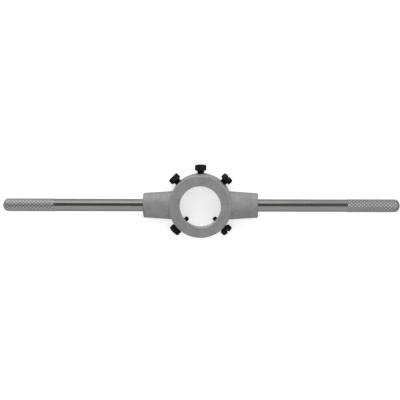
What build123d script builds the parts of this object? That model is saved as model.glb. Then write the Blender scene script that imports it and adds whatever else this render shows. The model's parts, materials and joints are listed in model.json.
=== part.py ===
from build123d import *
import os
from math import asin, cos, radians, sin, tan

# Stock for round threading dies, 38 mm across and 14 mm thick. All sizes are in millimetres.
# The stock lies on its open face: +X runs along the right handle, +Y towards the spreading screw
# and +Z up, with the origin on the die's axis in the open face.

# Ring: the die goes into the seat from below, against the lip at the top
die_diameter = 38.0
die_clearance = 0.05
seat_depth = 13.0
lip_thickness = 6.0
lip_hole_diameter = 33.2
ring_wall = 6.45
ring_crown = 0.3
ring_lip_edge_radius = 1.2
ring_open_edge_radius = 0.8
seat_mouth_chamfer = 0.5
lip_hole_chamfer = 0.5

# Lugs: oval bosses cast onto the ring, a small step in from its faces and tapering outwards
lug_length = 20.8
lug_end_height = 20.0
lug_face_step = 1.3
lug_taper = 3.6
lug_end_edge_radius = 1.2
lug_root_fillet = 0.8

# Handles: steel bars screwed into the lugs up to the floor of their sockets
handle_diameter = 10.0
handle_length = 132.0
handle_engagement = 18.3
handle_thread_clearance = 0.03
handle_entry_chamfer = 0.5
socket_mouth_chamfer = 0.3
tap_drill_diameter = 8.5
tap_drill_run_out = 2.5
drill_point_angle = 118.0

# Knurled grip at the free end of each handle
grip_diameter = 10.5
grip_length = 41.7
grip_edge_chamfer = 0.2
dome_height = 3.3

# Screws: one size of thread and head, three kinds of point
screw_height = 6.2
screw_diameter = 6.0
screw_clearance = 0.05
screw_hole_chamfer = 0.5
head_diameter = 9.3
head_height = 4.6
head_chamfer = 0.6
slot_width = 1.1
slot_depth = 1.2

# Spreading screw: a sharp cone that enters the slit of the die
spreading_angle = 90.0
spreading_length = 11.3
spreading_stand_off = 2.3
spreading_point_angle = 60.0
spreading_point_flat = 0.6
spreading_slot_turn = 80.0

# Closing screws: blunt cones above the handles
closing_angle = 45.0
closing_length = 11.7
closing_stand_off = 2.1
closing_point_angle = 90.0
closing_point_flat = 3.0
closing_left_slot_turn = 65.0
closing_right_slot_turn = 1.0

# Locking screws: dog points below the handles
locking_angle = -45.0
locking_length = 12.2
locking_stand_off = 1.3
dog_diameter = 3.6
dog_length = 2.8
dog_edge_chamfer = 1.0
dog_shoulder_angle = 90.0
locking_left_slot_turn = 95.0
locking_right_slot_turn = -7.0

# Worked out from the sizes above
seat_radius = die_diameter / 2 + die_clearance
ring_radius = seat_radius + ring_wall
ring_height = seat_depth + lip_thickness
handle_height = ring_height / 2
lug_end_x = ring_radius + lug_length
lug_spread = 2 * tan(radians(lug_taper))
lug_end_depth = ring_height - 2 * lug_face_step - lug_spread * lug_length
socket_floor_x = lug_end_x - handle_engagement
handle_end_x = socket_floor_x + handle_length
overcut = 1.0


def across_x(x):
    # A plane square to the handles, with its own x along Y and its own y along Z
    return Plane(origin=(x, 0, handle_height), x_dir=(0, 1, 0), z_dir=(1, 0, 0))


def along_screw(angle):
    # A plane on the axis of a screw, with its own z pointing out of the ring
    direction = (cos(radians(angle)), sin(radians(angle)), 0)
    return Plane(origin=(0, 0, screw_height), x_dir=(0, 0, 1), z_dir=direction)


def ring_blank():
    # The wall is widest at half height, where the mould parts, and draws in to both faces
    face_radius = ring_radius - ring_crown
    wall = ThreePointArc(
        (face_radius, 0),
        (ring_radius, ring_height / 2),
        (face_radius, ring_height),
    )
    rest = Polyline((face_radius, ring_height), (0, ring_height), (0, 0), (face_radius, 0))
    blank = revolve(Plane.XZ * make_face([wall, rest]), Axis.Z)
    rims = blank.edges().filter_by(GeomType.CIRCLE).group_by(Axis.Z)
    blank = fillet(rims[-1], ring_lip_edge_radius)
    rims = blank.edges().filter_by(GeomType.CIRCLE).group_by(Axis.Z)
    return fillet(rims[0], ring_open_edge_radius)


def right_lug():
    # The root lies inside the wall of the ring, where it just clears the seat
    root_x = seat_radius
    growth = lug_spread * (lug_end_x - root_x)
    root = Ellipse((lug_end_height + growth) / 2, (lug_end_depth + growth) / 2)
    end = Ellipse(lug_end_height / 2, lug_end_depth / 2)
    lug = loft([across_x(root_x) * root, across_x(lug_end_x) * end], ruled=True)
    return fillet(lug.edges().group_by(Axis.X)[-1], lug_end_edge_radius)


def root_edges(casting):
    # The free-form curves where the lugs leave the ring, but not the seams and ends of the lugs
    reach = ring_radius + lug_length / 4
    curves = casting.edges().filter_by(GeomType.BSPLINE)
    return [curve for curve in curves if abs(curve.center().X) < reach]


def seat_and_hole():
    seat = extrude(Circle(seat_radius), seat_depth)
    seat_mouth = Cone(
        seat_radius + seat_mouth_chamfer,
        seat_radius,
        seat_mouth_chamfer,
        align=(Align.CENTER, Align.CENTER, Align.MIN),
    )
    hole_radius = lip_hole_diameter / 2
    hole = extrude(Circle(hole_radius), ring_height)
    inner_rim = Cone(
        hole_radius + lip_hole_chamfer,
        hole_radius,
        lip_hole_chamfer,
        align=(Align.CENTER, Align.CENTER, Align.MIN),
    )
    outer_rim = Cone(
        hole_radius,
        hole_radius + lip_hole_chamfer,
        lip_hole_chamfer,
        align=(Align.CENTER, Align.CENTER, Align.MAX),
    )
    return seat + seat_mouth + hole + Pos(Z=seat_depth) * inner_rim + Pos(Z=ring_height) * outer_rim


def right_socket():
    # Tapped bore with a chamfered mouth, the tap drill's run-out and its cone point
    bore_radius = handle_diameter / 2 + handle_thread_clearance
    drill_radius = tap_drill_diameter / 2
    point_length = drill_radius / tan(radians(drill_point_angle / 2))
    outline = Polyline(
        (socket_floor_x - tap_drill_run_out - point_length, 0),
        (socket_floor_x - tap_drill_run_out, drill_radius),
        (socket_floor_x, drill_radius),
        (socket_floor_x, bore_radius),
        (lug_end_x - socket_mouth_chamfer, bore_radius),
        (lug_end_x + overcut, bore_radius + socket_mouth_chamfer + overcut),
        (lug_end_x + overcut, 0),
        close=True,
    )
    return Pos(Z=handle_height) * revolve(Plane.XZ * make_face(outline), Axis.X)


def screw_hole(angle):
    # A clear bore for the thread, with a small countersink in the outside of the ring
    bore_radius = screw_diameter / 2 + screw_clearance
    sink_start = ring_radius - screw_hole_chamfer
    outline = Polyline(
        (0, seat_radius - overcut),
        (bore_radius, seat_radius - overcut),
        (bore_radius, sink_start),
        (bore_radius + screw_hole_chamfer + overcut, ring_radius + overcut),
        (0, ring_radius + overcut),
        close=True,
    )
    return along_screw(angle) * revolve(Plane.XZ * make_face(outline), Axis.Z)


def stock_body():
    lug = right_lug()
    casting = ring_blank() + lug + mirror(lug, Plane.YZ)
    casting = fillet(root_edges(casting), lug_root_fillet)
    casting -= seat_and_hole()
    socket = right_socket()
    casting -= socket
    casting -= mirror(socket, Plane.YZ)
    for angle in screw_angles():
        casting -= screw_hole(angle)
    return casting


def screw_angles():
    return [
        spreading_angle,
        closing_angle,
        180 - closing_angle,
        locking_angle,
        180 - locking_angle,
    ]


def right_handle():
    # Entry chamfer, plain bar, slightly raised grip and a domed end
    bar_radius = handle_diameter / 2
    grip_radius = grip_diameter / 2
    grip_start = handle_end_x - grip_length
    dome_start = handle_end_x - dome_height
    dome_radius = (grip_radius**2 + dome_height**2) / (2 * dome_height)
    sides = Polyline(
        (handle_end_x, 0),
        (socket_floor_x, 0),
        (socket_floor_x, bar_radius - handle_entry_chamfer),
        (socket_floor_x + handle_entry_chamfer, bar_radius),
        (grip_start, bar_radius),
        (grip_start + grip_edge_chamfer, grip_radius),
        (dome_start, grip_radius),
    )
    dome_centre = handle_end_x - dome_radius
    half_turn = asin(grip_radius / dome_radius) / 2
    dome = ThreePointArc(
        (dome_start, grip_radius),
        (dome_centre + dome_radius * cos(half_turn), dome_radius * sin(half_turn)),
        (handle_end_x, 0),
    )
    return Pos(Z=handle_height) * revolve(Plane.XZ * make_face([sides, dome]), Axis.X)


def cone_point(angle, flat):
    # Radii and distances from the tip, from the thread down to the small flat
    shank_radius = screw_diameter / 2
    cone_length = (shank_radius - flat / 2) / tan(radians(angle / 2))
    return [(shank_radius, cone_length), (flat / 2, 0)]


def dog_point():
    # The same, for a plain cylinder with a shoulder behind it and a broken edge at the tip
    shank_radius = screw_diameter / 2
    dog_radius = dog_diameter / 2
    shoulder_length = (shank_radius - dog_radius) / tan(radians(dog_shoulder_angle / 2))
    return [
        (shank_radius, dog_length + shoulder_length),
        (dog_radius, dog_length),
        (dog_radius, dog_edge_chamfer),
        (dog_radius - dog_edge_chamfer, 0),
    ]


def screw(angle, stand_off, length, point, slot_turn):
    # Round head with a driver slot, thread at its full diameter, and the given point
    head_radius = head_diameter / 2
    under_head = ring_radius + stand_off
    head_top = under_head + head_height
    tip = under_head - length
    nose = [(radius, tip + rise) for radius, rise in point]
    outline = Polyline(
        (0, head_top),
        (head_radius - head_chamfer, head_top),
        (head_radius, head_top - head_chamfer),
        (head_radius, under_head + head_chamfer),
        (head_radius - head_chamfer, under_head),
        (screw_diameter / 2, under_head),
        *nose,
        (0, tip),
        close=True,
    )
    blank = revolve(Plane.XZ * make_face(outline), Axis.Z)
    slot = Box(head_diameter + overcut, slot_width, 2 * slot_depth)
    blank -= Pos(Z=head_top) * Rot(Z=slot_turn) * slot
    return along_screw(angle) * blank


def spreading_screw():
    point = cone_point(spreading_point_angle, spreading_point_flat)
    return screw(spreading_angle, spreading_stand_off, spreading_length, point, spreading_slot_turn)


def closing_screw(angle, slot_turn):
    point = cone_point(closing_point_angle, closing_point_flat)
    return screw(angle, closing_stand_off, closing_length, point, slot_turn)


def locking_screw(angle, slot_turn):
    return screw(angle, locking_stand_off, locking_length, dog_point(), slot_turn)


handle = right_handle()
pieces = {
    "stock_body": stock_body(),
    "right_handle": handle,
    "left_handle": mirror(handle, Plane.YZ),
    "spreading_screw": spreading_screw(),
    "closing_screw_right": closing_screw(closing_angle, closing_right_slot_turn),
    "closing_screw_left": closing_screw(180 - closing_angle, closing_left_slot_turn),
    "locking_screw_right": locking_screw(locking_angle, locking_right_slot_turn),
    "locking_screw_left": locking_screw(180 - locking_angle, locking_left_slot_turn),
}

os.makedirs("parts", exist_ok=True)
for name, piece in pieces.items():
    export_step(piece, f"parts/{name}.step")
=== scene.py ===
import json
import math

import bmesh
import bpy
from mathutils import Matrix, Vector


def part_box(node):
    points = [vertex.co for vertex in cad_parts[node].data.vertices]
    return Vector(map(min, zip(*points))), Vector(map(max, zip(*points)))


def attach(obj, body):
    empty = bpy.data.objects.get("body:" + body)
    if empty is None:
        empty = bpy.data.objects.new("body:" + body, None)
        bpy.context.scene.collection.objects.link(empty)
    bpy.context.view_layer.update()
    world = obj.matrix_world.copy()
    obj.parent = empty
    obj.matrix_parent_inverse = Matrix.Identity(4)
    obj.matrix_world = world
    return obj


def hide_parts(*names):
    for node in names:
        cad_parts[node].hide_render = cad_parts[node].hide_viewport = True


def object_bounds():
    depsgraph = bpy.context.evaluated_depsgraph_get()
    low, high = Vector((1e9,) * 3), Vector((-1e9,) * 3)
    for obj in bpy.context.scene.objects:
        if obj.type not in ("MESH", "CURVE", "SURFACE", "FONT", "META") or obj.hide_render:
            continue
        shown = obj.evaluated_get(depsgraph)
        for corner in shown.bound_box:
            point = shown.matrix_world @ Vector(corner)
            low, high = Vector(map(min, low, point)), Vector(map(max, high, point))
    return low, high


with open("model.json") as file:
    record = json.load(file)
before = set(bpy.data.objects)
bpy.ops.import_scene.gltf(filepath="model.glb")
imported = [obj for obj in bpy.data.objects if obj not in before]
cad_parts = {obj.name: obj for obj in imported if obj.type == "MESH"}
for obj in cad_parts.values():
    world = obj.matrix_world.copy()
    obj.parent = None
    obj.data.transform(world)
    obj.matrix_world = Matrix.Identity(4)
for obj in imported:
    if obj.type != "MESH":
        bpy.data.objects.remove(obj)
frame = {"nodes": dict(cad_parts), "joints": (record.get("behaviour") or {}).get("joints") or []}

cadLow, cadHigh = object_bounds()
mm = 0.001  # the settings below are in millimetres, those of the camera and the studio in metres
print("frame loaded")


# Colours are written as sRGB hex values; the materials need them linear
def colour(hexValue):
    parts = [int(hexValue[i:i + 2], 16) / 255 for i in (1, 3, 5)]
    linear = [c / 12.92 if c <= 0.04045 else ((c + 0.055) / 1.055) ** 2.4 for c in parts]
    return (*linear, 1)


# Adds a node; each of its inputs, by name or number, gets a value or a link from another node
def addNode(tree, kind, settings=None, inputs=None):
    node = tree.nodes.new(kind)
    for name, value in (settings or {}).items():
        setattr(node, name, value)
    for name, value in (inputs or {}).items():
        if isinstance(value, bpy.types.NodeSocket):
            tree.links.new(value, node.inputs[name])
        else:
            node.inputs[name].default_value = value
    return node


# A Mix node's sockets for colours, which share their names with its sockets for numbers
mixFirst, mixSecond, mixResult = 6, 7, 2


def newMaterial(name):
    material = bpy.data.materials.new(name)
    material.use_nodes = True
    material.node_tree.nodes.clear()
    return material, material.node_tree


# Camera: looks down on the lip side, from a little towards the spreading screw and the right handle
cameraSettings = {
    "distance": 1.2,
    "degreesTowardsTop": 8.33,
    "degreesTowardsRight": 2.12,
    "degreesOfRoll": -0.15,
    "metresPerPixel": 0.0008064,
    "ringPixel": (200.10, 204.78),  # where the middle of the ring is in the photograph
    "middlePixel": 199.5,
    "imagePixels": 400,
    "sensor": 36,  # in millimetres, as Blender counts it
    "clipStart": 0.01,
}


def makeCamera(s):
    up = math.radians(s["degreesTowardsTop"])
    side = math.radians(s["degreesTowardsRight"])
    lowBody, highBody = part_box("stock_body")
    target = (lowBody + highBody) / 2
    level = math.cos(up)
    backward = Vector((math.sin(side) * level, math.sin(up), math.cos(side) * level))
    rightward = Vector((0, 1, 0)).cross(backward).normalized()
    upward = backward.cross(rightward)
    turn = Matrix((rightward, upward, backward)).transposed()
    turn = turn @ Matrix.Rotation(math.radians(s["degreesOfRoll"]), 3, "Z")
    data = bpy.data.cameras.new("camera")
    data.sensor_width = s["sensor"]
    data.lens = s["sensor"] * s["distance"] / s["metresPerPixel"] / s["imagePixels"]
    data.shift_x = (s["middlePixel"] - s["ringPixel"][0]) / s["imagePixels"]
    data.shift_y = (s["ringPixel"][1] - s["middlePixel"]) / s["imagePixels"]
    data.clip_start = s["clipStart"]
    camera = bpy.data.objects.new("camera", data)
    bpy.context.scene.collection.objects.link(camera)
    camera.matrix_world = Matrix.Translation(target + backward * s["distance"]) @ turn.to_4x4()
    bpy.context.scene.camera = camera


makeCamera(cameraSettings)
print("camera placed")

# Zinc die casting, tumbled after it left the mould: a dull silver grey with a fine speckle and
# faint clouds, and no sharp reflections. The seat and the hole in the lip are turned: there the
# zinc is brighter, with fine rings round the bore
zincSettings = {
    "light": "#98999b",
    "dark": "#7b7c7e",
    "cloudSize": 7.0,
    "speckleSize": 0.9,  # the real speckle is finer, and would not show in the picture
    "speckleShare": 0.7,
    "toneSpread": (0.38, 0.62),  # the noise below the first is all dark, above the second all light
    "roughness": (0.5, 0.64),
    "metallic": 0.5,  # the tumbled skin scatters as much light as it mirrors
    "speckleHeight": 0.03,
    "waveSize": 2.5,
    "waveHeight": 0.03,
    "turnedColour": "#9c9da0",
    "turnedRoughness": 0.34,
    "turnedRadius": 19.6,
    "turnedDepth": 13.2,
    "holeRadius": 17.15,
    "ringSpacing": 0.4,  # a real feed of about 0.1 mm, drawn as coarse as it needs to show
    "ringHeight": 0.006,
}


def zincCasting(s):
    material, tree = newMaterial("tumbledZincCasting")
    place = addNode(tree, "ShaderNodeTexCoord").outputs["Object"]
    clouds = addNode(tree, "ShaderNodeTexNoise", inputs={
        "Vector": place, "Scale": 1 / (s["cloudSize"] * mm), "Detail": 4.0, "Roughness": 0.6,
    })
    speckle = addNode(tree, "ShaderNodeTexNoise", inputs={
        "Vector": place, "Scale": 1 / (s["speckleSize"] * mm), "Detail": 3.0, "Roughness": 0.7,
    })
    mottle = addNode(tree, "ShaderNodeMix", {"data_type": "FLOAT"}, {
        "Factor": s["speckleShare"], "A": clouds.outputs["Fac"], "B": speckle.outputs["Fac"],
    })
    ramp = addNode(tree, "ShaderNodeValToRGB", inputs={"Fac": mottle.outputs["Result"]})
    ramp.color_ramp.elements[0].position = s["toneSpread"][0]
    ramp.color_ramp.elements[0].color = colour(s["dark"])
    ramp.color_ramp.elements[1].position = s["toneSpread"][1]
    ramp.color_ramp.elements[1].color = colour(s["light"])
    dullness = addNode(tree, "ShaderNodeMapRange", inputs={
        "Value": speckle.outputs["Fac"], "To Min": s["roughness"][0], "To Max": s["roughness"][1],
    })

    # The turned surfaces lie inside the radius of the seat, below its floor, or inside the hole
    parts = addNode(tree, "ShaderNodeSeparateXYZ", inputs={"Vector": place})
    flat = addNode(tree, "ShaderNodeCombineXYZ", inputs={
        "X": parts.outputs["X"], "Y": parts.outputs["Y"],
    })
    radius = addNode(tree, "ShaderNodeVectorMath", {"operation": "LENGTH"}, {
        0: flat.outputs["Vector"],
    })
    inSeat = addNode(tree, "ShaderNodeMath", {"operation": "LESS_THAN"}, {
        0: radius.outputs["Value"], 1: s["turnedRadius"] * mm,
    })
    belowFloor = addNode(tree, "ShaderNodeMath", {"operation": "LESS_THAN"}, {
        0: parts.outputs["Z"], 1: s["turnedDepth"] * mm,
    })
    inHole = addNode(tree, "ShaderNodeMath", {"operation": "LESS_THAN"}, {
        0: radius.outputs["Value"], 1: s["holeRadius"] * mm,
    })
    seat = addNode(tree, "ShaderNodeMath", {"operation": "MULTIPLY"}, {
        0: inSeat.outputs[0], 1: belowFloor.outputs[0],
    })
    turned = addNode(tree, "ShaderNodeMath", {"operation": "MAXIMUM"}, {
        0: seat.outputs[0], 1: inHole.outputs[0],
    })
    advance = addNode(tree, "ShaderNodeMath", {"operation": "ADD"}, {
        0: radius.outputs["Value"], 1: parts.outputs["Z"],
    })
    rings = addNode(tree, "ShaderNodeMath", {"operation": "PINGPONG"}, {
        0: advance.outputs[0], 1: s["ringSpacing"] * mm / 2,
    })
    ringRise = addNode(tree, "ShaderNodeMath", {"operation": "MULTIPLY"}, {
        0: rings.outputs[0], 1: turned.outputs[0],
    })

    tint = addNode(tree, "ShaderNodeMix", {"data_type": "RGBA"}, {
        "Factor": turned.outputs[0],
        mixFirst: ramp.outputs["Color"],
        mixSecond: colour(s["turnedColour"]),
    })
    polish = addNode(tree, "ShaderNodeMix", {"data_type": "FLOAT"}, {
        "Factor": turned.outputs[0], "A": dullness.outputs["Result"], "B": s["turnedRoughness"],
    })
    waves = addNode(tree, "ShaderNodeTexNoise", inputs={
        "Vector": place, "Scale": 1 / (s["waveSize"] * mm), "Detail": 2.0,
    })
    waveBump = addNode(tree, "ShaderNodeBump", inputs={
        "Height": waves.outputs["Fac"], "Distance": s["waveHeight"] * mm,
    })
    speckleBump = addNode(tree, "ShaderNodeBump", inputs={
        "Height": speckle.outputs["Fac"],
        "Distance": s["speckleHeight"] * mm,
        "Normal": waveBump.outputs["Normal"],
    })
    # The rings rise to half their spacing, and the distance brings that to their height
    ringBump = addNode(tree, "ShaderNodeBump", inputs={
        "Height": ringRise.outputs[0],
        "Distance": 2 * s["ringHeight"] / s["ringSpacing"],
        "Normal": speckleBump.outputs["Normal"],
    })
    shader = addNode(tree, "ShaderNodeBsdfPrincipled", inputs={
        "Base Color": tint.outputs[mixResult],
        "Metallic": s["metallic"],
        "Roughness": polish.outputs["Result"],
        "Normal": ringBump.outputs["Normal"],
    })
    addNode(tree, "ShaderNodeOutputMaterial", inputs={"Surface": shader.outputs["BSDF"]})
    return material


# Nickel plate on drawn steel: it mirrors the studio in long stripes, with faint drawing lines along
# the bar. The knurl, rolled before plating, is duller than the bar; its grooves get painted shade
plateSettings = {
    "light": "#8f8f8f",
    "dark": "#878787",
    # painted light: the knurl gets a lighter copy of the plating's colour, which stands in for
    # light on the tops of its teeth
    "paintedKnurlLight": "#bababc",
    # painted shade in the bottoms of the knurl's grooves
    "groove": "#787a7d",
    "turnedEnd": "#858688",
    "toneSpread": (0.35, 0.65),
    "lineWidth": 0.3,  # finer on the real bar, drawn as coarse as it needs to show
    "lineLength": 14.0,
    "roughness": (0.13, 0.19),
    "knurlRoughness": 0.2,  # this and the next are added to the bar's
    "endRoughness": 0.2,
    "lineHeight": 0.003,
    "edgeTint": "#b8b8b8",
}


def nickelPlate(s):
    material, tree = newMaterial("nickelPlatedSteel")
    place = addNode(tree, "ShaderNodeTexCoord").outputs["Object"]
    across = 1 / (s["lineWidth"] * mm)
    stretch = addNode(tree, "ShaderNodeMapping", inputs={
        "Vector": place, "Scale": (1 / (s["lineLength"] * mm), across, across),
    })
    lines = addNode(tree, "ShaderNodeTexNoise", inputs={
        "Vector": stretch.outputs["Vector"], "Scale": 1.0, "Detail": 2.0,
    })
    ramp = addNode(tree, "ShaderNodeValToRGB", inputs={"Fac": lines.outputs["Fac"]})
    ramp.color_ramp.elements[0].position = s["toneSpread"][0]
    ramp.color_ramp.elements[0].color = colour(s["dark"])
    ramp.color_ramp.elements[1].position = s["toneSpread"][1]
    ramp.color_ramp.elements[1].color = colour(s["light"])
    # The mesh says where the knurl, the painted shade in its grooves and the turned end are
    knurled, groove, turnedEnd = [
        addNode(tree, "ShaderNodeAttribute", {"attribute_name": name}).outputs["Fac"]
        for name in ("knurled", "paintedGrooveShade", "turnedEnd")
    ]
    # Painted light and shade: the knurl is tinted lighter than the bar, and the bottoms of its
    # grooves darker
    tint = ramp.outputs["Color"]
    for share, tone in ((knurled, s["paintedKnurlLight"]), (groove, s["groove"]), (turnedEnd, s["turnedEnd"])):
        tint = addNode(tree, "ShaderNodeMix", {"data_type": "RGBA"}, {
            "Factor": share, mixFirst: tint, mixSecond: colour(tone),
        }).outputs[mixResult]
    dullness = addNode(tree, "ShaderNodeMapRange", inputs={
        "Value": lines.outputs["Fac"], "To Min": s["roughness"][0], "To Max": s["roughness"][1],
    }).outputs["Result"]
    for share, added in ((knurled, s["knurlRoughness"]), (turnedEnd, s["endRoughness"])):
        dullness = addNode(tree, "ShaderNodeMath", {"operation": "MULTIPLY_ADD"}, {
            0: share, 1: added, 2: dullness,
        }).outputs[0]
    bump = addNode(tree, "ShaderNodeBump", inputs={
        "Height": lines.outputs["Fac"], "Distance": s["lineHeight"] * mm,
    })
    shader = addNode(tree, "ShaderNodeBsdfPrincipled", inputs={
        "Base Color": tint,
        "Metallic": 1.0,
        "Roughness": dullness,
        "Specular Tint": colour(s["edgeTint"]),
        "Normal": bump.outputs["Normal"],
    })
    addNode(tree, "ShaderNodeOutputMaterial", inputs={"Surface": shader.outputs["BSDF"]})
    return material


# Black oxide on steel: near black, with the low sheen of an oiled surface and a fine etch
oxideSettings = {
    "light": "#2a2a2b",
    "dark": "#191919",
    "toneSpread": (0.35, 0.65),
    "spotSize": 0.6,
    "etchSize": 0.2,
    "roughness": (0.38, 0.52),
    "metallic": 0.8,
    "etchHeight": 0.006,
    "edgeTint": "#a0a0a0",
}


def blackOxide(s):
    material, tree = newMaterial("blackOxideSteel")
    place = addNode(tree, "ShaderNodeTexCoord").outputs["Object"]
    spots = addNode(tree, "ShaderNodeTexNoise", inputs={
        "Vector": place, "Scale": 1 / (s["spotSize"] * mm), "Detail": 3.0,
    })
    etch = addNode(tree, "ShaderNodeTexNoise", inputs={
        "Vector": place, "Scale": 1 / (s["etchSize"] * mm), "Detail": 2.0,
    })
    ramp = addNode(tree, "ShaderNodeValToRGB", inputs={"Fac": spots.outputs["Fac"]})
    ramp.color_ramp.elements[0].position = s["toneSpread"][0]
    ramp.color_ramp.elements[0].color = colour(s["dark"])
    ramp.color_ramp.elements[1].position = s["toneSpread"][1]
    ramp.color_ramp.elements[1].color = colour(s["light"])
    dullness = addNode(tree, "ShaderNodeMapRange", inputs={
        "Value": spots.outputs["Fac"], "To Min": s["roughness"][0], "To Max": s["roughness"][1],
    })
    bump = addNode(tree, "ShaderNodeBump", inputs={
        "Height": etch.outputs["Fac"], "Distance": s["etchHeight"] * mm,
    })
    shader = addNode(tree, "ShaderNodeBsdfPrincipled", inputs={
        "Base Color": ramp.outputs["Color"],
        "Metallic": s["metallic"],
        "Roughness": dullness.outputs["Result"],
        "Specular Tint": colour(s["edgeTint"]),
        "Normal": bump.outputs["Normal"],
    })
    addNode(tree, "ShaderNodeOutputMaterial", inputs={"Surface": shader.outputs["BSDF"]})
    return material


zinc = zincCasting(zincSettings)
plate = nickelPlate(plateSettings)
oxide = blackOxide(oxideSettings)
print("materials made")


# Turns an outline of (distance along the axis, radius) into a closed mesh about Z; the faces
# between the two distances of pokedSpan get a point in their middle
def turnedMesh(name, outline, columns, pokedSpan=None):
    work = bmesh.new()
    fullCircle = [2 * math.pi * i / columns for i in range(columns)]
    rings = []
    for height, radius in outline:
        turns = fullCircle if radius > 0 else [0.0]  # on the axis a ring is one point
        places = [(radius * math.cos(turn), radius * math.sin(turn), height) for turn in turns]
        rings.append([work.verts.new(place) for place in places])
    for lower, upper in zip(rings, rings[1:]):
        for i in range(columns):
            j = (i + 1) % columns
            around = ((lower, i), (lower, j), (upper, j), (upper, i))
            corners = [ring[k % len(ring)] for ring, k in around]
            work.faces.new(list(dict.fromkeys(corners)))  # a triangle where one ring is a point
    if pokedSpan:
        low, high = pokedSpan
        inside = [face for face in work.faces if low < face.calc_center_median().z < high]
        bmesh.ops.poke(work, faces=inside)
    bmesh.ops.recalc_face_normals(work, faces=work.faces)
    mesh = bpy.data.meshes.new(name)
    work.to_mesh(mesh)
    work.free()
    piece = bpy.data.objects.new(name, mesh)
    bpy.context.scene.collection.objects.link(piece)
    return piece


# Points on an arc of an outline, where 0 degrees points away from the axis and 90 along it
def arcPoints(middle, radius, fromDegrees, toDegrees, steps):
    points = []
    for i in range(steps + 1):
        turn = math.radians(fromDegrees + (toDegrees - fromDegrees) * i / steps)
        points.append((middle[0] + radius * math.sin(turn), middle[1] + radius * math.cos(turn)))
    return points


# A node tree for a modifier, with a named input for each size
def startTree(name, sizes):
    tree = bpy.data.node_groups.new(name, "GeometryNodeTree")
    tree.interface.new_socket("Geometry", in_out="INPUT", socket_type="NodeSocketGeometry")
    for size in sizes:
        tree.interface.new_socket(size, in_out="INPUT", socket_type="NodeSocketFloat")
    tree.interface.new_socket("Material", in_out="INPUT", socket_type="NodeSocketMaterial")
    tree.interface.new_socket("Geometry", in_out="OUTPUT", socket_type="NodeSocketGeometry")
    return tree, addNode(tree, "NodeGroupInput").outputs


def endTree(tree, given, geometry):
    real = addNode(tree, "GeometryNodeRealizeInstances", inputs={"Geometry": geometry})
    finish = addNode(tree, "GeometryNodeSetMaterial", inputs={
        "Geometry": real.outputs["Geometry"], "Material": given["Material"],
    })
    addNode(tree, "NodeGroupOutput", inputs={"Geometry": finish.outputs["Geometry"]})


# Distance along Z, turns about Z from -0.5 to 0.5, and the direction away from Z
def cylinderPlace(tree):
    position = addNode(tree, "GeometryNodeInputPosition").outputs["Position"]
    parts = addNode(tree, "ShaderNodeSeparateXYZ", inputs={"Vector": position}).outputs
    angle = addNode(tree, "ShaderNodeMath", {"operation": "ARCTAN2"}, {
        0: parts["Y"], 1: parts["X"],
    })
    turns = addNode(tree, "ShaderNodeMath", {"operation": "DIVIDE"}, {
        0: angle.outputs[0], 1: 2 * math.pi,
    })
    flat = addNode(tree, "ShaderNodeCombineXYZ", inputs={"X": parts["X"], "Y": parts["Y"]})
    outward = addNode(tree, "ShaderNodeVectorMath", {"operation": "NORMALIZE"}, {
        0: flat.outputs["Vector"],
    })
    return parts["Z"], turns.outputs[0], outward.outputs["Vector"]


# Moves the points of a turned piece towards its axis
def pressIn(tree, geometry, outward, depth):
    inward = addNode(tree, "ShaderNodeMath", {"operation": "MULTIPLY"}, {0: depth, 1: -1.0})
    offset = addNode(tree, "ShaderNodeVectorMath", {"operation": "SCALE"}, {
        0: outward, "Scale": inward.outputs[0],
    })
    moved = addNode(tree, "GeometryNodeSetPosition", inputs={
        "Geometry": geometry, "Offset": offset.outputs["Vector"],
    })
    return moved.outputs["Geometry"]


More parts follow.
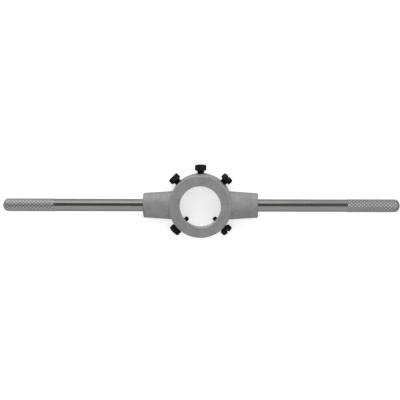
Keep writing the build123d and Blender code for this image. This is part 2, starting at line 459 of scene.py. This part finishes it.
# Diamond knurl: two crossing sets of helical grooves, which fade in and out at the ends
def knurlTree():
    sizes = ["Start", "End", "Fade", "Teeth", "Turn", "Axial pitch", "Depth", "Groove share"]
    sizes += ["Dark from", "Dark to", "Ragged", "Ragged scale"]
    tree, given = startTree("diamondKnurl", sizes)
    along, turns, outward = cylinderPlace(tree)
    fromStart = addNode(tree, "ShaderNodeMath", {"operation": "SUBTRACT"}, {
        0: along, 1: given["Start"],
    })
    climb = addNode(tree, "ShaderNodeMath", {"operation": "DIVIDE"}, {
        0: fromStart.outputs[0], 1: given["Axial pitch"],
    })
    around = addNode(tree, "ShaderNodeMath", {"operation": "MULTIPLY_ADD"}, {
        0: turns, 1: given["Teeth"], 2: given["Turn"],
    })
    # Each set rises from 0 at the bottom of a groove to 0.5 in the middle of a tooth
    heights = []
    for lean in ("ADD", "SUBTRACT"):
        phase = addNode(tree, "ShaderNodeMath", {"operation": lean}, {
            0: around.outputs[0], 1: climb.outputs[0],
        })
        wave = addNode(tree, "ShaderNodeMath", {"operation": "PINGPONG"}, {
            0: phase.outputs[0], 1: 0.5,
        })
        heights.append(wave.outputs[0])
    height = addNode(tree, "ShaderNodeMath", {"operation": "MINIMUM"}, {
        0: heights[0], 1: heights[1],
    })
    halfShare = addNode(tree, "ShaderNodeMath", {"operation": "MULTIPLY"}, {
        0: given["Groove share"], 1: 0.5,
    })
    groove = addNode(tree, "ShaderNodeMapRange", inputs={
        "Value": height.outputs[0], "From Max": halfShare.outputs[0], "To Min": 1.0, "To Max": 0.0,
    })
    # Painted shade: the bottoms of the grooves are marked for a darker colour in the material
    dark = addNode(tree, "ShaderNodeMapRange", inputs={
        "Value": height.outputs[0], "From Min": given["Dark from"], "From Max": given["Dark to"],
        "To Min": 1.0, "To Max": 0.0,
    })
    unevenness = addNode(tree, "ShaderNodeTexNoise", inputs={
        "Scale": given["Ragged scale"], "Detail": 1.0,
    })
    shift = addNode(tree, "ShaderNodeMath", {"operation": "MULTIPLY"}, {
        0: unevenness.outputs["Fac"], 1: given["Ragged"],
    })
    entered = addNode(tree, "ShaderNodeMath", {"operation": "SUBTRACT"}, {
        0: fromStart.outputs[0], 1: shift.outputs[0],
    })
    fadeIn = addNode(tree, "ShaderNodeMapRange", inputs={
        "Value": entered.outputs[0], "From Max": given["Fade"],
    })
    toEnd = addNode(tree, "ShaderNodeMath", {"operation": "SUBTRACT"}, {0: given["End"], 1: along})
    fadeOut = addNode(tree, "ShaderNodeMapRange", inputs={
        "Value": toEnd.outputs[0], "From Max": given["Fade"],
    })
    fade = addNode(tree, "ShaderNodeMath", {"operation": "MINIMUM"}, {
        0: fadeIn.outputs["Result"], 1: fadeOut.outputs["Result"],
    })
    pressed = addNode(tree, "ShaderNodeMath", {"operation": "MULTIPLY"}, {
        0: groove.outputs["Result"], 1: fade.outputs[0],
    })
    depth = addNode(tree, "ShaderNodeMath", {"operation": "MULTIPLY"}, {
        0: pressed.outputs[0], 1: given["Depth"],
    })
    grooveShadeShare = addNode(tree, "ShaderNodeMath", {"operation": "MULTIPLY"}, {
        0: dark.outputs["Result"], 1: fade.outputs[0],
    })
    pastEnd = addNode(tree, "ShaderNodeMath", {"operation": "GREATER_THAN"}, {
        0: along, 1: given["End"],
    })
    geometry = given["Geometry"]
    shares = {"knurled": fade, "paintedGrooveShade": grooveShadeShare, "turnedEnd": pastEnd}
    onPoints = {"data_type": "FLOAT", "domain": "POINT"}
    for name, share in shares.items():
        marked = addNode(tree, "GeometryNodeStoreNamedAttribute", onPoints, {
            "Geometry": geometry, "Name": name, "Value": share.outputs[0],
        })
        geometry = marked.outputs["Geometry"]
    endTree(tree, given, pressIn(tree, geometry, outward, depth.outputs[0]))
    return tree


# Screw: a right-hand thread between two heights, and a driver slot cut across the head
def screwTree():
    sizes = ["Start", "End", "Pitch", "Depth", "Slot length", "Slot width", "Slot depth"]
    sizes += ["Slot turn", "Head top"]
    tree, given = startTree("slottedScrew", sizes)
    along, turns, outward = cylinderPlace(tree)
    climb = addNode(tree, "ShaderNodeMath", {"operation": "DIVIDE"}, {0: along, 1: given["Pitch"]})
    phase = addNode(tree, "ShaderNodeMath", {"operation": "SUBTRACT"}, {
        0: climb.outputs[0], 1: turns,
    })
    wave = addNode(tree, "ShaderNodeMath", {"operation": "PINGPONG"}, {0: phase.outputs[0], 1: 0.5})
    # A metric profile: the root is a quarter of the pitch wide and the crest an eighth
    root = addNode(tree, "ShaderNodeMapRange", inputs={
        "Value": wave.outputs[0], "From Min": 1 / 8, "From Max": 7 / 16,
        "To Min": 1.0, "To Max": 0.0,
    })
    fromStart = addNode(tree, "ShaderNodeMath", {"operation": "SUBTRACT"}, {
        0: along, 1: given["Start"],
    })
    toEnd = addNode(tree, "ShaderNodeMath", {"operation": "SUBTRACT"}, {0: given["End"], 1: along})
    nearest = addNode(tree, "ShaderNodeMath", {"operation": "MINIMUM"}, {
        0: fromStart.outputs[0], 1: toEnd.outputs[0],
    })
    runOut = addNode(tree, "ShaderNodeMapRange", inputs={
        "Value": nearest.outputs[0], "From Max": given["Pitch"], "To Max": given["Depth"],
    })
    depth = addNode(tree, "ShaderNodeMath", {"operation": "MULTIPLY"}, {
        0: root.outputs["Result"], 1: runOut.outputs["Result"],
    })
    threaded = pressIn(tree, given["Geometry"], outward, depth.outputs[0])
    # The cutter has its middle in the top of the head, so half of its height is the slot's depth
    doubled = addNode(tree, "ShaderNodeMath", {"operation": "MULTIPLY"}, {
        0: given["Slot depth"], 1: 2.0,
    })
    cutterSize = addNode(tree, "ShaderNodeCombineXYZ", inputs={
        "X": given["Slot length"], "Y": given["Slot width"], "Z": doubled.outputs[0],
    })
    cutter = addNode(tree, "GeometryNodeMeshCube", inputs={"Size": cutterSize.outputs["Vector"]})
    place = addNode(tree, "ShaderNodeCombineXYZ", inputs={"Z": given["Head top"]})
    turn = addNode(tree, "ShaderNodeCombineXYZ", inputs={"Z": given["Slot turn"]})
    placed = addNode(tree, "GeometryNodeTransform", inputs={
        "Geometry": cutter.outputs["Mesh"],
        "Translation": place.outputs["Vector"],
        "Rotation": turn.outputs["Vector"],
    })
    cut = addNode(tree, "GeometryNodeMeshBoolean", {"operation": "DIFFERENCE", "solver": "EXACT"}, {
        "Mesh 1": threaded, "Mesh 2": placed.outputs["Geometry"],
    })
    endTree(tree, given, cut.outputs["Mesh"])
    return tree


# Runs a tree on a piece, keeps the result as a plain mesh and puts it in its place on the stock
def applyTree(piece, tree, values, place, sharpDegrees):
    modifier = piece.modifiers.new(tree.name, "NODES")
    modifier.node_group = tree
    sockets = [item for item in tree.interface.items_tree if item.in_out == "INPUT"]
    identifiers = {socket.name: socket.identifier for socket in sockets}
    for name, value in values.items():
        modifier[identifiers[name]] = value
    piece.update_tag()
    evaluated = piece.evaluated_get(bpy.context.evaluated_depsgraph_get())
    mesh = bpy.data.meshes.new_from_object(evaluated)
    piece.modifiers.remove(modifier)
    piece.data = mesh
    mesh.transform(place)
    mesh.shade_smooth()
    mesh.set_sharp_from_angle(angle=math.radians(sharpDegrees))


# Handles: the drawn bar, the rolled knurl and the domed end
handleSettings = {
    "barDiameter": 10.0,
    "gripLength": 41.7,
    "gripStep": 0.3,  # length of the slope from the bar up to the grip
    "entryChamfer": 0.5,
    "domeHeight": 3.3,
    "domeSteps": 12,
    "teeth": 12,  # about 20 round the real bar, which are too fine to show in the picture
    "axialPitch": 2.9,  # as short as 2.5 on the real bars, drawn coarser for the same reason
    "stepsPerTooth": 12,
    "knurlTurn": 0.5,  # of a tooth
    "knurlDepth": 0.2,
    "grooveShare": 0.75,  # of the pitch; the rest is the flat top of a tooth
    "darkFrom": 0.15,  # the painted shade of a groove fades out between these two heights; a tooth's top is 0.5
    "darkTo": 0.25,
    "ontoDome": 0.7,  # how far the rolled pattern runs past the edge of the dome
    "fade": 0.9,  # the length in which the grooves reach their depth
    "ragged": 0.6,  # how unevenly they start
    "raggedScale": 700.0,  # patches to the metre
    "sharpDegrees": 24,
}


def makeHandle(name, node, direction, tree, s):
    low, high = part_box(node)
    inner, outer = sorted((abs(low.x) / mm, abs(high.x) / mm))
    bar, grip = s["barDiameter"] / 2, (high.z - low.z) / mm / 2
    gripStart, domeStart = outer - s["gripLength"], outer - s["domeHeight"]
    outline = [(inner, 0), (inner, bar - s["entryChamfer"]), (inner + s["entryChamfer"], bar)]
    outline += [(gripStart - s["gripStep"], bar), (gripStart, grip)]
    step = s["axialPitch"] / s["stepsPerTooth"]
    rows = int((domeStart - gripStart) / step)
    outline += [(gripStart + step * i, grip) for i in range(1, rows + 1)]
    domeRadius = (grip ** 2 + s["domeHeight"] ** 2) / (2 * s["domeHeight"])
    domeEdge = math.degrees(math.asin(grip / domeRadius))
    dome = arcPoints((outer - domeRadius, 0), domeRadius, 90 - domeEdge, 90, s["domeSteps"])
    outline += dome[:-1] + [(outer, 0)]
    outline = [(x * mm, r * mm) for x, r in outline]
    span = (gripStart * mm, (gripStart + step * rows) * mm)
    piece = turnedMesh(name, outline, s["teeth"] * s["stepsPerTooth"], span)
    lie = Vector((0, 0, 1)).rotation_difference(Vector((direction, 0, 0))).to_matrix().to_4x4()
    place = Matrix.Translation((0, 0, (low.z + high.z) / 2)) @ lie
    values = {
        "Start": gripStart * mm,
        "End": (domeStart + s["ontoDome"]) * mm,
        "Fade": s["fade"] * mm,
        "Teeth": float(s["teeth"]),
        "Turn": s["knurlTurn"],
        "Axial pitch": s["axialPitch"] * mm,
        "Depth": s["knurlDepth"] * mm,
        "Groove share": s["grooveShare"],
        "Dark from": s["darkFrom"],
        "Dark to": s["darkTo"],
        "Ragged": s["ragged"] * mm,
        "Ragged scale": s["raggedScale"],
        "Material": plate,
    }
    applyTree(piece, tree, values, place, s["sharpDegrees"])
    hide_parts(node)
    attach(piece, "stock")


knurl = knurlTree()
makeHandle("rightHandleBar", "right_handle", 1, knurl, handleSettings)
makeHandle("leftHandleBar", "left_handle", -1, knurl, handleSettings)
print("handles made")

# Screws: one thread and head, and a point of its own for each kind
screwSettings = {
    "threadDiameter": 6.0,
    "pitch": 1.0,
    "threadDepth": 0.6,
    "threadLead": 0.4,  # how far the thread runs out over the point
    "neck": 0.2,  # plain shank between the thread and the head
    "stepsPerPitch": 12,
    "columns": 72,
    "headDiameter": 9.3,
    "headHeight": 4.6,
    "headRounding": 1.0,
    "roundingSteps": 4,
    "slotLength": 20.0,  # of the cutter, which reaches past the head at both ends
    "slotWidth": 1.1,
    "slotDepth": 1.2,
    "sharpDegrees": 35,
    "points": {  # (distance from the tip, radius), from the tip up
        "cone": [(0, 0.3), (4.676, 3.0)],
        "blunt": [(0, 1.5), (1.5, 3.0)],
        "dog": [(0, 0.8), (0.4, 1.5), (1.0, 1.8), (2.8, 1.8), (4.0, 3.0)],
    },
    "screws": {  # the piece, its point and the turn of its slot in degrees
        "spreading_screw": ("spreadingScrew", "cone", 80.0),
        "closing_screw_left": ("leftClosingScrew", "blunt", 65.0),
        "closing_screw_right": ("rightClosingScrew", "blunt", 1.0),
        "locking_screw_left": ("leftLockingScrew", "dog", 95.0),
        "locking_screw_right": ("rightLockingScrew", "dog", -7.0),
    },
}


def makeScrew(joint, tree, s):
    node = joint["child"]
    name, point, slotTurn = s["screws"][node]
    axis = Vector(joint["axis"]).normalized()
    # The node's own mesh says where the tip and the top of the head are on the screw's axis
    reaches = [vertex.co.dot(axis) / mm for vertex in frame["nodes"][node].data.vertices]
    tip, headTop = min(reaches), max(reaches)
    underHead = headTop - s["headHeight"]
    thread, head = s["threadDiameter"] / 2, s["headDiameter"] / 2
    outline = [(tip, 0)] + [(tip + x, r) for x, r in s["points"][point]]
    threadStart = outline[-1][0]
    rows = int((underHead - threadStart) / s["pitch"] * s["stepsPerPitch"])
    rise = (underHead - threadStart) / rows
    outline += [(threadStart + rise * i, thread) for i in range(1, rows + 1)]
    rounding, steps = s["headRounding"], s["roundingSteps"]
    outline += arcPoints((underHead + rounding, head - rounding), rounding, -90, 0, steps)
    outline += arcPoints((headTop - rounding, head - rounding), rounding, 0, 90, steps)
    outline += [(headTop, 0)]
    piece = turnedMesh(name, [(x * mm, r * mm) for x, r in outline], s["columns"])
    low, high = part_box(node)
    upwards = Vector((0, 0, 1))  # the slot's turn is counted from the stock's own Z
    turn = Matrix((upwards, axis.cross(upwards), axis)).transposed().to_4x4()
    place = Matrix.Translation((0, 0, (low.z + high.z) / 2)) @ turn
    values = {
        "Start": (threadStart - s["threadLead"]) * mm,
        "End": (underHead - s["neck"]) * mm,
        "Pitch": s["pitch"] * mm,
        "Depth": s["threadDepth"] * mm,
        "Slot length": s["slotLength"] * mm,
        "Slot width": s["slotWidth"] * mm,
        "Slot depth": s["slotDepth"] * mm,
        "Slot turn": math.radians(slotTurn),
        "Head top": headTop * mm,
        "Material": oxide,
    }
    applyTree(piece, tree, values, place, s["sharpDegrees"])
    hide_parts(node)
    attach(piece, node)


slotted = screwTree()
for joint in frame["joints"]:
    makeScrew(joint, slotted, screwSettings)
print("screws made")

casting = frame["nodes"]["stock_body"].data
casting.materials.clear()
casting.materials.append(zinc)
print("casting dressed")

# Studio: a white sheet under the stock in an even white room, a soft box on the side of the
# spreading screw, and cards that shape what the metal mirrors
studioSettings = {
    "floorSize": 6.0,
    "floorColour": "#e6e6e6",
    "floorGlow": 0.56,
    "floorMirrored": 0.1,  # the glow that metal shows
    "fibreSize": 1.1,  # this and the next two are in millimetres
    "fibreHeight": 0.02,
    "floorGap": 0.02,
    "roomLevel": 0.71,
    "keyDegrees": 62.0,  # from straight up
    "keyDistance": 1.2,
    "keySize": (1.2, 0.6),
    "keyLevel": 0.8,  # of the light that a white room gives
    "cardDistance": 1.3,
    # Reach along the handles, degrees from straight up at both edges, colour and strength. The
    # grip cards are so far out that only the slanting faces of the knurls show them
    "cards": {
        "leftGreyCard": ((-0.6, 0.11), (-8.0, 42.0), "#736f66", 1.0),
        "middleGreyCard": ((0.11, 0.27), (-8.0, 52.0), "#838482", 1.0),
        "rightGreyCard": ((0.27, 0.4), (-8.0, 62.0), "#949698", 1.0),
        "leftWhiteCard": ((-0.6, 0.1), (50.0, 88.0), "#fffdf4", 1.5),
        "leftGripWhiteCard": ((-1.5, -0.6), (48.0, 88.0), "#fffdf4", 3.2),
        "leftGripGreyCard": ((-1.5, -0.6), (-8.0, 45.0), "#9e9fa1", 1.0),
        "leftGripLowCard": ((-1.5, -0.6), (-75.0, -8.0), "#b0b2b4", 1.0),
        "rightGripWhiteCard": ((0.4, 1.5), (-12.0, 50.0), "#ffffff", 2.5),
        "rightGripHighCard": ((0.4, 1.5), (50.0, 92.0), "#1c1d1f", 1.0),
        "rightGripLowCard": ((0.4, 1.5), (-80.0, -12.0), "#3a3b3d", 1.0),
    },
}


def paperMaterial(s):
    material, tree = newMaterial("whitePaper")
    rays = addNode(tree, "ShaderNodeLightPath").outputs
    place = addNode(tree, "ShaderNodeTexCoord").outputs["Object"]
    fibres = addNode(tree, "ShaderNodeTexNoise", inputs={
        "Vector": place, "Scale": 1 / (s["fibreSize"] * mm), "Detail": 2.0,
    })
    bump = addNode(tree, "ShaderNodeBump", inputs={
        "Height": fibres.outputs["Fac"], "Distance": s["fibreHeight"] * mm,
    })
    paper = addNode(tree, "ShaderNodeBsdfDiffuse", inputs={
        "Color": colour(s["floorColour"]), "Normal": bump.outputs["Normal"],
    })
    seen = addNode(tree, "ShaderNodeMath", {"operation": "ADD"}, {
        0: rays["Is Camera Ray"], 1: rays["Is Transmission Ray"],
    })
    direct = addNode(tree, "ShaderNodeMath", {"operation": "MULTIPLY"}, {
        0: seen.outputs[0], 1: s["floorGlow"],
    })
    strength = addNode(tree, "ShaderNodeMath", {"operation": "MULTIPLY_ADD"}, {
        0: rays["Is Glossy Ray"], 1: s["floorMirrored"], 2: direct.outputs[0],
    })
    glow = addNode(tree, "ShaderNodeEmission", inputs={"Strength": strength.outputs[0]})
    lit = addNode(tree, "ShaderNodeAddShader", inputs={
        0: paper.outputs["BSDF"], 1: glow.outputs["Emission"],
    })
    addNode(tree, "ShaderNodeOutputMaterial", inputs={"Surface": lit.outputs["Shader"]})
    return material


def cardMaterial(name, tone, level):
    material, tree = newMaterial(name)
    card = addNode(tree, "ShaderNodeEmission", inputs={"Color": colour(tone), "Strength": level})
    addNode(tree, "ShaderNodeOutputMaterial", inputs={"Surface": card.outputs["Emission"]})
    return material


def makeSheet(name, corners, material):
    mesh = bpy.data.meshes.new(name)
    mesh.from_pydata(corners, [], [(0, 1, 2, 3)])
    mesh.materials.append(material)
    sheet = bpy.data.objects.new(name, mesh)
    bpy.context.scene.collection.objects.link(sheet)
    return sheet


# A long sheet beside the camera that only metal shows
def makeCard(name, reach, degrees, distance, material):
    turns = [math.radians(d) for d in degrees]
    (y0, z0), (y1, z1) = [(distance * math.sin(turn), distance * math.cos(turn)) for turn in turns]
    left, right = reach
    corners = [(left, y0, z0), (right, y0, z0), (right, y1, z1), (left, y1, z1)]
    card = makeSheet(name, corners, material)
    card.visible_camera = False
    card.visible_diffuse = False
    card.visible_shadow = False


# The key light models the dull casting, and isn't mirrored: that is what the cards are for
def makeKeyLight(s):
    data = bpy.data.lights.new("keyLight", "AREA")
    data.shape = "RECTANGLE"
    data.size, data.size_y = s["keySize"]
    data.energy = s["keyLevel"] * (math.pi * s["keyDistance"]) ** 2
    key = bpy.data.objects.new("keyLight", data)
    bpy.context.scene.collection.objects.link(key)
    turn = math.radians(s["keyDegrees"])
    key.location = (0, s["keyDistance"] * math.sin(turn), s["keyDistance"] * math.cos(turn))
    key.rotation_euler = (-turn, 0, 0)
    key.visible_glossy = False


def makeRoom(s):
    world = bpy.data.worlds.new("whiteRoom")
    world.use_nodes = True
    tree = world.node_tree
    tree.nodes.clear()
    rays = addNode(tree, "ShaderNodeLightPath").outputs
    shown = addNode(tree, "ShaderNodeMath", {"operation": "MAXIMUM"}, {
        0: rays["Is Camera Ray"], 1: rays["Is Glossy Ray"],
    })
    seen = addNode(tree, "ShaderNodeMath", {"operation": "MAXIMUM"}, {
        0: shown.outputs[0], 1: rays["Is Transmission Ray"],
    })
    level = addNode(tree, "ShaderNodeMapRange", inputs={
        "Value": seen.outputs[0], "To Min": s["roomLevel"],
    })
    room = addNode(tree, "ShaderNodeBackground", inputs={
        "Color": (1, 1, 1, 1), "Strength": level.outputs["Result"],
    })
    addNode(tree, "ShaderNodeOutputWorld", inputs={"Surface": room.outputs["Background"]})
    bpy.context.scene.world = world


def makeStudio(s):
    half = s["floorSize"] / 2
    height = cadLow[2] - s["floorGap"] * mm
    plan = [(-half, -half), (half, -half), (half, half), (-half, half)]
    makeSheet("paperFloor", [(x, y, height) for x, y in plan], paperMaterial(s))
    for name, (reach, degrees, tone, level) in s["cards"].items():
        makeCard(name, reach, degrees, s["cardDistance"], cardMaterial(name, tone, level))
    makeKeyLight(s)
    makeRoom(s)


makeStudio(studioSettings)
bpy.context.scene.view_settings.view_transform = "Standard"
print("studio lit")
